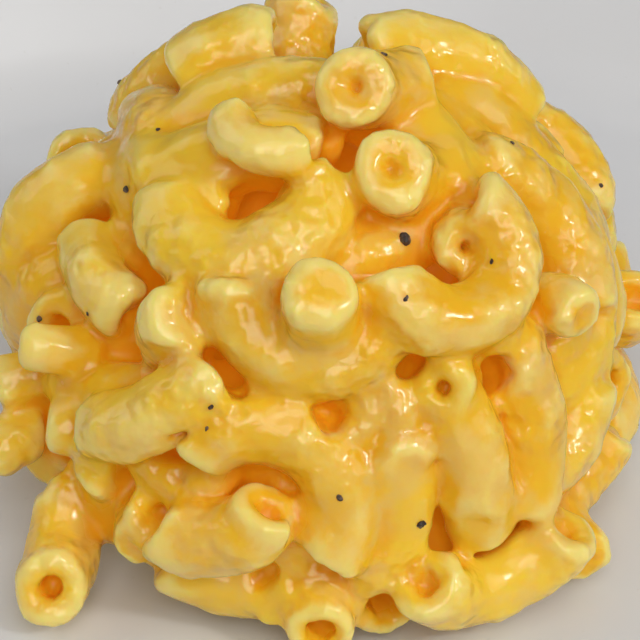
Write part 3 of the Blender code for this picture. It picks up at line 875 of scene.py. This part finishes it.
def cheeseMaterial():
    material, build, shader = startMaterial("cheeseSauce")
    place = build.node("ShaderNodeTexCoord", {}, {}, output="Object")

    def attribute(name):
        return build.node("ShaderNodeAttribute", {"attribute_name": name}, {}, output="Fac")

    def noise(scale, detail=2.0, roughness=0.5):
        return build.node("ShaderNodeTexNoise", {}, {"Vector": place, "Scale": scale, "Detail": detail,
                                                      "Roughness": roughness}, output="Fac")

    broad = noise(90)
    mottle = noise(450, 3.0, 0.6)
    ridge = attribute("ridge") + (mottle - 0.5) * 0.25 + (broad - 0.5) * 0.2
    base = build.mixColour((attribute("tint") * 0.6 + broad * 0.5).ramp(0.2, 0.9), cheese["pasta"],
                           cheese["pastaDeeper"])
    smear = (attribute("sauceDepth") + (mottle - 0.5) * 0.6 + (broad - 0.5) * 1.2).ramp(0.2, 0.9)
    base = build.mixColour(smear * cheese["smearShare"], base, cheese["thinSauce"])
    film = (noise(130, 2.0) + (mottle - 0.5) * 0.25).ramp(0.5, 0.68)
    base = build.mixColour(film * cheese["filmShare"], base, cheese["thinSauce"])
    # convex rims turn pale cream: partly paler sauce, partly painted highlight
    base = build.mixColour(ridge.ramp(0.2, 0.6) * cheese["paleSauceAndSheenShare"], base, cheese["sauce"])
    # painted shade: concave places between elbows turn deeper orange
    creaseShade = (ridge * -1.0).ramp(-0.02, 0.26)
    base = build.mixColour(creaseShade * cheese["creaseShadeShare"], base, cheese["creaseShade"])
    # painted shade: places deep under the heap's hull turn deep orange
    pit = (attribute("pitDepth") + (mottle - 0.5) * 0.8 - ridge * 3.0).ramp(1.1, 4.0)
    base = build.mixColour(pit * cheese["pitShadeShare"], base, cheese["pit"])
    feed(build, shader, "Base Color", base)
    feed(build, shader, "Roughness", noise(500) * 0.2 + pit * 0.25 + (cheese["roughness"] - 0.1))
    # painted glow: the deepest pits give off a little orange light of their own
    deep = (attribute("pitDepth") - ridge * 2.0).ramp(2.0, 6.0)
    feed(build, shader, "Emission Color", build.mixColour(deep, (0.0, 0.0, 0.0, 1.0), cheese["pit"]))
    feed(build, shader, "Emission Strength", cheese["paintedPitGlow"])
    feed(build, shader, "IOR", cheese["refraction"])
    feed(build, shader, "Subsurface Weight", cheese["softness"])
    feed(build, shader, "Subsurface Radius", cheese["lightReach"])
    feed(build, shader, "Subsurface Scale", 1.0)
    patch = attribute("patch") * 0.85 + 0.15
    grain = noise(480, 0.6) * 0.8 + noise(820, 0.0) * 0.55
    bump = build.node("ShaderNodeBump", {}, {"Strength": cheese["bump"], "Distance": cheese["bumpDepth"],
                                             "Height": grain * patch})
    feed(build, shader, "Normal", bump)
    return material


glaze = {
    "cool": colour(220, 221, 224),
    "warm": colour(225, 226, 228),
    "fleck": colour(190, 186, 178),
    "fleckShare": 0.12,
    "roughness": 0.3,
    "refraction": 1.45,
    "ripple": 0.12,
    "rippleDepth": 0.0003,
}


def glazeMaterial():
    material, build, shader = startMaterial("whiteGlaze")
    place = build.node("ShaderNodeTexCoord", {}, {}, output="Object")

    def noise(scale, detail=2.0):
        return build.node("ShaderNodeTexNoise", {}, {"Vector": place, "Scale": scale, "Detail": detail},
                          output="Fac")

    cloud = noise(30.0)
    base = build.mixColour(cloud, glaze["cool"], glaze["warm"])
    flecks = noise(900.0, 1.0).ramp(0.74, 0.8) * glaze["fleckShare"]
    feed(build, shader, "Base Color", build.mixColour(flecks, base, glaze["fleck"]))
    feed(build, shader, "Roughness", cloud * 0.08 + glaze["roughness"])
    feed(build, shader, "IOR", glaze["refraction"])
    bump = build.node("ShaderNodeBump", {}, {"Strength": glaze["ripple"], "Distance": glaze["rippleDepth"],
                                             "Height": noise(60.0, 1.0)})
    feed(build, shader, "Normal", bump)
    return material


studio = {
    "floor": colour(226, 226, 228),
    "floorRoughness": 0.6,
    "floorHalf": 1.5,       # half the floor's side, in metres
    "roomLight": (0.97, 0.98, 1.0, 1),
    "roomStrength": 0.14,
}


def floorMaterial():
    material, build, shader = startMaterial("paleFloor")
    feed(build, shader, "Base Color", studio["floor"])
    feed(build, shader, "Roughness", studio["floorRoughness"])
    return material


# The bowl, in millimetres from the table.

bowl = {
    "rim": 32.0,            # height the wall is drawn to; it stops short of it, and its lip is rounded
    "wallEnd": 0.97,        # share of the wall's rise where it stops
    "floorTop": 6.5,
    "floorRadius": 84.0,
    "curve": 14.0,          # radius of the turn from floor to wall
    "slope": 55.0,          # of the wall, in degrees
    "wall": 4.2,
    "footOuter": 54.0,
    "footInner": 48.0,
    "footHeight": 2.2,
    "footEase": 0.6,        # rounding of the foot's edges
    "footInside": 0.3,      # how much thicker the floor is inside the foot ring
    "around": 180,          # steps
}


def arcPoints(centre, radius, first, last, steps):
    angles = [math.radians(first + (last - first) * step / steps) for step in range(steps + 1)]
    return [(centre[0] + radius * math.cos(angle), centre[1] + radius * math.sin(angle)) for angle in angles]


def bowlSide(offset):
    centre = (bowl["floorRadius"], bowl["floorTop"] + bowl["curve"])
    turn = arcPoints(centre, bowl["curve"] + offset, -90, bowl["slope"] - 90, 14)
    slope = math.radians(bowl["slope"])
    rise = bowl["rim"] - bowl["wall"] / 2 - bowl["floorTop"] - bowl["curve"] * (1 - math.cos(slope))
    foot = turn[-1]
    rises = [rise * step / 6 for step in range(1, 6)] + [rise * bowl["wallEnd"]]
    return turn + [(foot[0] + up / math.tan(slope), foot[1] + up) for up in rises]


def bowlProfile():
    floorSteps = 8
    inside = [(bowl["floorRadius"] * step / floorSteps, bowl["floorTop"]) for step in range(floorSteps)]
    inside += bowlSide(0)
    outside = bowlSide(bowl["wall"])
    lipCentre = ((inside[-1][0] + outside[-1][0]) / 2, (inside[-1][1] + outside[-1][1]) / 2)
    lip = arcPoints(lipCentre, bowl["wall"] / 2, bowl["slope"] + 90, bowl["slope"] - 90, 14)[1:-1]
    under = bowl["floorTop"] - bowl["wall"]
    foot = arcPoints((bowl["footOuter"] + bowl["footHeight"], 0.4), under - 0.4, 90, 180, 5)
    outer, inner, ease = bowl["footOuter"], bowl["footInner"], bowl["footEase"]
    base = under - bowl["footInside"]
    foot += [(outer - 0.15, 0.12), (outer - ease, 0), (inner + ease, 0),
             (inner + 0.15, 0.12), (inner, 0.4), (inner - ease, base)]
    return inside + lip + outside[::-1] + foot + [(inner / 2, base), (0, base)]


def makeBowl():
    body = bmesh.new()
    rings = []
    for radius, height in bowlProfile():
        steps = bowl["around"] if radius else 1
        angles = [2 * math.pi * step / bowl["around"] for step in range(steps)]
        rings.append([body.verts.new(Vector((radius * math.cos(angle), radius * math.sin(angle), height))
                                     * millimetre) for angle in angles])
    for lower, upper in zip(rings, rings[1:]):
        for step in range(bowl["around"]):
            after = (step + 1) % bowl["around"]
            corners = [lower[step % len(lower)], lower[after % len(lower)],
                       upper[after % len(upper)], upper[step % len(upper)]]
            body.faces.new(list(dict.fromkeys(corners)))
    bmesh.ops.recalc_face_normals(body, faces=body.faces)
    mesh = meshFrom(body, "servingBowl")
    mesh.shade_smooth()
    return addObject("servingBowl", mesh)


pepper = {
    "seed": 5,
    "loose": 16,            # further specks, on every side
    "small": 0.22,          # radius
    "large": 0.34,
    "spiral": 137.5,        # degrees from one loose speck to the next
    "start": 100,
    "heights": (4, 50),
    "flatness": 0.45,
    "roughness": 0.5,
    "dark": colour(44, 34, 28),
    "pale": colour(112, 92, 74),
    "shine": 0.45,
}

# The larger specks: degrees around, height, radius.
largeSpecks = (
    (23, 43.3, 0.72), (-64, 42.9, 0.45), (97, 33.5, 0.4), (43, 52.5, 0.35), (-64, 28.1, 0.35),
    (-15, 30.9, 0.4), (-18, 26.9, 0.3), (16, 16.1, 0.55), (3, 20.9, 0.38), (53, 3.7, 0.3),
)


def makePepper(ground, material):
    tree = BVHTree.FromPolygons([vert.co for vert in ground.data.vertices],
                                [face.vertices for face in ground.data.polygons])
    rng = random.Random(pepper["seed"])
    rows = list(largeSpecks)
    for spot in range(pepper["loose"]):
        rows.append((spot * pepper["spiral"] + pepper["start"], rng.uniform(*pepper["heights"]),
                     rng.uniform(pepper["small"], pepper["large"])))
    places, sizes, turns = [], [], []
    for around, height, size in rows:
        place, *_, out = surfaceFrame(around, height)
        start = (place + out * 12 + Vector((0, 0, heap["floorHeight"]))) * millimetre
        hit = tree.ray_cast(start, -out)
        if hit[0] is None:
            continue
        places.append(hit[0] + hit[1] * (size * 0.1 * millimetre))
        sizes.append(size * millimetre)
        turns.append(hit[1].to_track_quat("Z", "Y").to_euler())
        turns[-1].rotate_axis("Z", rng.uniform(0, 6.28))
    mesh = bpy.data.meshes.new("peppers")
    mesh.from_pydata(places, [], [])
    mesh.attributes.new("size", "FLOAT", "POINT").data.foreach_set("value", sizes)
    angles = [angle for turn in turns for angle in turn]
    mesh.attributes.new("turn", "FLOAT_VECTOR", "POINT").data.foreach_set("vector", angles)
    points = addObject("peppers", mesh)
    build, given = startTree("pepperFlakes", (("Flatness", 0.45), ("Roughness", 0.5)))
    ball = build.node("GeometryNodeMeshIcoSphere", {}, {"Radius": 1.0, "Subdivisions": 3}, output="Mesh")
    size = build.named("size")
    spread = build.node("ShaderNodeCombineXYZ", {}, {0: size, 1: size * 0.75, 2: size * given["Flatness"]})
    flakes = build.node("GeometryNodeInstanceOnPoints", {},
                        {"Points": given["Geometry"], "Instance": ball, "Scale": spread,
                         "Rotation": build.named("turn", "FLOAT_VECTOR")})
    real = build.node("GeometryNodeRealizeInstances", {}, {"Geometry": flakes})
    crumble = build.node("ShaderNodeTexNoise", {}, {"Scale": 2200.0, "Detail": 2.0}, output="Fac") - 0.5
    rough = build.node("GeometryNodeInputNormal") * (crumble * given["Roughness"] * 0.0011)
    endTree(build, build.node("GeometryNodeSetPosition", {}, {"Geometry": real, "Offset": rough}), material)
    shape = {"Flatness": pepper["flatness"], "Roughness": pepper["roughness"]}
    made = grown(points, build, shape, "pepperSpecks")
    discard(points)
    return made


def pepperMaterial():
    material, build, shader = startMaterial("blackPepper")
    place = build.node("ShaderNodeTexCoord", {}, {}, output="Object")
    grain = build.node("ShaderNodeTexNoise", {}, {"Vector": place, "Scale": 1500.0, "Detail": 2.0},
                       output="Fac")
    feed(build, shader, "Base Color", build.mixColour(grain.ramp(0.4, 0.7), pepper["dark"], pepper["pale"]))
    feed(build, shader, "Roughness", grain * 0.2 + pepper["shine"])
    return material


# The view and the light.

picture = {
    "distance": 0.300,
    "elevation": 33.0,
    "targetHeight": 0.024,
    "across": 0.071,        # width shown at the target
    "sensor": 36.0,
}


def aimed(item, azimuth, elevation, distance, target=(0, 0, 0)):
    a, e = math.radians(azimuth), math.radians(elevation)
    back = Vector((math.sin(a) * math.cos(e), -math.cos(a) * math.cos(e), math.sin(e)))
    item.location = Vector(target) + back * distance
    item.rotation_mode = "QUATERNION"
    item.rotation_quaternion = (-back).to_track_quat("-Z", "Y")
    bpy.context.scene.collection.objects.link(item)


def makeCamera():
    data = bpy.data.cameras.new("camera")
    data.sensor_width = picture["sensor"]
    data.lens = picture["sensor"] * picture["distance"] / picture["across"]
    data.clip_start, data.clip_end = 0.01, 20
    camera = bpy.data.objects.new("camera", data)
    aimed(camera, 0, picture["elevation"], picture["distance"], (0, 0, picture["targetHeight"]))
    bpy.context.scene.camera = camera


lamps = (                   # name, azimuth, elevation, distance, size, watts, colour
    ("frontSoftbox", 2, 36, 0.9, 0.5, 2.4, (1.0, 0.99, 0.97)),
    ("highSoftbox", 15, 60, 0.9, 0.5, 1.4, (1.0, 0.985, 0.955)),
    ("sideSoftbox", 70, 30, 0.9, 0.5, 1.1, (1.0, 0.985, 0.955)),
    ("glintWindow", 50, 38, 0.9, 0.11, 1.5, (1.0, 0.99, 0.97)),
    ("leftSoftbox", -100, 35, 1.0, 0.7, 1.7, (1.0, 0.99, 0.98)),
    ("backSoftbox", 170, 45, 1.0, 0.7, 0.7, (1.0, 0.985, 0.97)),
)


def makeLights():
    for name, azimuth, elevation, distance, size, watts, tone in lamps:
        data = bpy.data.lights.new(name, "AREA")
        data.shape = "SQUARE"
        data.size = size
        data.energy = watts
        data.color = tone
        aimed(bpy.data.objects.new(name, data), azimuth, elevation, distance)
    world = bpy.data.worlds.new("softRoom")
    bpy.context.scene.world = world
    world.use_nodes = True
    background = world.node_tree.nodes["Background"]
    background.inputs["Color"].default_value = studio["roomLight"]
    background.inputs["Strength"].default_value = studio["roomStrength"]
    bpy.context.scene.view_settings.view_transform = "Standard"


def makeFloor(material):
    body = bmesh.new()
    bmesh.ops.create_grid(body, x_segments=8, y_segments=8, size=studio["floorHalf"])
    mesh = meshFrom(body, "floor")
    mesh.materials.append(material)
    floor = addObject("floor", mesh)


makeCamera()
makeLights()
makeFloor(floorMaterial())
coating = cheeseMaterial()
macaroni = makeHeap(coating)
macaroni.data.materials.clear()         # one slot only
macaroni.data.materials.append(coating)
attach(macaroni, "root")
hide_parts("macaroni_heap")
ground = pepperMaterial()
specks = makePepper(macaroni, ground)
specks.data.materials.clear()
specks.data.materials.append(ground)
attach(specks, "root")
dish = makeBowl()
dish.data.materials.append(glazeMaterial())
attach(dish, "root")
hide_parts("bowl")
report("materials set")
